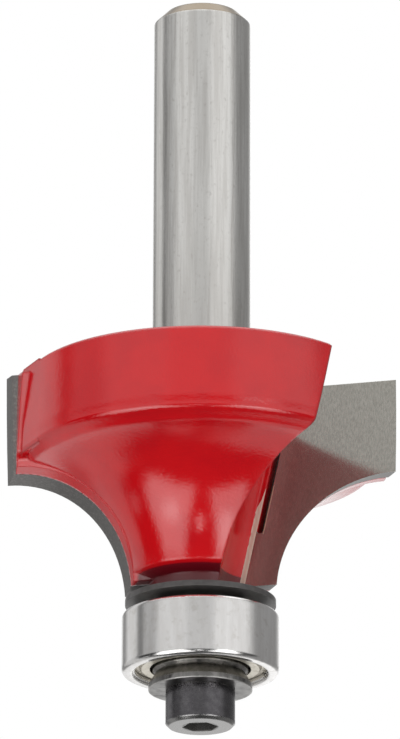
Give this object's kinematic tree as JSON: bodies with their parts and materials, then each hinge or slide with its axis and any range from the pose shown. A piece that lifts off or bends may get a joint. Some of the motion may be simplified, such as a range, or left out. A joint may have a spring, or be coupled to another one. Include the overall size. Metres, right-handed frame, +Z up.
{
  "type": "round-over router bit",
  "caption": "Winged round-over router bit: carbide tips brazed on a fluted head, a plain shank above and a ball-bearing guide held below by a cap screw.",
  "frame": {"origin": "on the axis of rotation, at the end face of the cap screw, the lowest point of the bit", "axes": "+Z up along the axis, from the guide bearing to the shank; the straight edges of the cutting tips lie on +X and -X"},
  "size_m": [0.0318, 0.0288, 0.0613],
  "materials": {
    "head_red": "glossy red baked paint on the milled head, bare ground steel on the shank",
    "carbide": "ground cemented carbide, fine grinding lines",
    "dust_shield": "black phosphated steel, satin",
    "bearing_ring": "ground bearing steel, bright",
    "ball": "polished bearing steel",
    "cage": "pressed steel strip",
    "bearing_shield": "zinc plated pressed steel",
    "snap_wire": "drawn spring wire",
    "washer": "oiled dark steel with bright worn rim",
    "screw": "black oxide on alloy steel, ground end face"
  },
  "bodies": {
    "cutter": {"cutter_body": "head_red", "carbide_tip_1": "carbide", "carbide_tip_2": "carbide", "dust_shield": "dust_shield", "bearing_inner_ring": "bearing_ring", "clamp_washer": "washer", "cap_screw": "screw"},
    "outer_race": {"bearing_outer_ring": "bearing_ring", "bearing_shield_upper": "bearing_shield", "bearing_shield_lower": "bearing_shield", "snap_wire_upper": "snap_wire", "snap_wire_lower": "snap_wire"},
    "cage": {"cage_upper": "cage", "cage_lower": "cage"},
    "ball_1": {"ball_1": "ball"},
    "ball_2": {"ball_2": "ball"},
    "ball_3": {"ball_3": "ball"},
    "ball_4": {"ball_4": "ball"},
    "ball_5": {"ball_5": "ball"},
    "ball_6": {"ball_6": "ball"},
    "ball_7": {"ball_7": "ball"}
  },
  "joints": [
    {"name": "outer_race_spin", "type": "hinge", "parent": "cutter", "child": "outer_race", "pos_m": [0, 0, 0.00684], "axis": [0, 0, 1], "continuous": true},
    {"name": "cage_spin", "type": "hinge", "parent": "cutter", "child": "cage", "pos_m": [0, 0, 0.00684], "axis": [0, 0, 1], "continuous": true},
    {"name": "ball_1_roll", "type": "hinge", "parent": "cage", "child": "ball_1", "pos_m": [0.00437, 0, 0.00684], "axis": [0, 0, 1], "continuous": true},
    {"name": "ball_2_roll", "type": "hinge", "parent": "cage", "child": "ball_2", "pos_m": [0.00272, 0.00341, 0.00684], "axis": [0, 0, 1], "continuous": true},
    {"name": "ball_3_roll", "type": "hinge", "parent": "cage", "child": "ball_3", "pos_m": [-0.00097, 0.00426, 0.00684], "axis": [0, 0, 1], "continuous": true},
    {"name": "ball_4_roll", "type": "hinge", "parent": "cage", "child": "ball_4", "pos_m": [-0.00393, 0.00189, 0.00684], "axis": [0, 0, 1], "continuous": true},
    {"name": "ball_5_roll", "type": "hinge", "parent": "cage", "child": "ball_5", "pos_m": [-0.00393, -0.00189, 0.00684], "axis": [0, 0, 1], "continuous": true},
    {"name": "ball_6_roll", "type": "hinge", "parent": "cage", "child": "ball_6", "pos_m": [-0.00097, -0.00426, 0.00684], "axis": [0, 0, 1], "continuous": true},
    {"name": "ball_7_roll", "type": "hinge", "parent": "cage", "child": "ball_7", "pos_m": [0.00272, -0.00341, 0.00684], "axis": [0, 0, 1], "continuous": true}
  ],
  "couplings": [
    {"joint": "cage_spin", "follows": "outer_race_spin", "ratio": 0.63635},
    {"joint": "ball_1_roll", "follows": "outer_race_spin", "ratio": 1.6971},
    {"joint": "ball_2_roll", "follows": "outer_race_spin", "ratio": 1.6971},
    {"joint": "ball_3_roll", "follows": "outer_race_spin", "ratio": 1.6971},
    {"joint": "ball_4_roll", "follows": "outer_race_spin", "ratio": 1.6971},
    {"joint": "ball_5_roll", "follows": "outer_race_spin", "ratio": 1.6971},
    {"joint": "ball_6_roll", "follows": "outer_race_spin", "ratio": 1.6971},
    {"joint": "ball_7_roll", "follows": "outer_race_spin", "ratio": 1.6971}
  ]
}
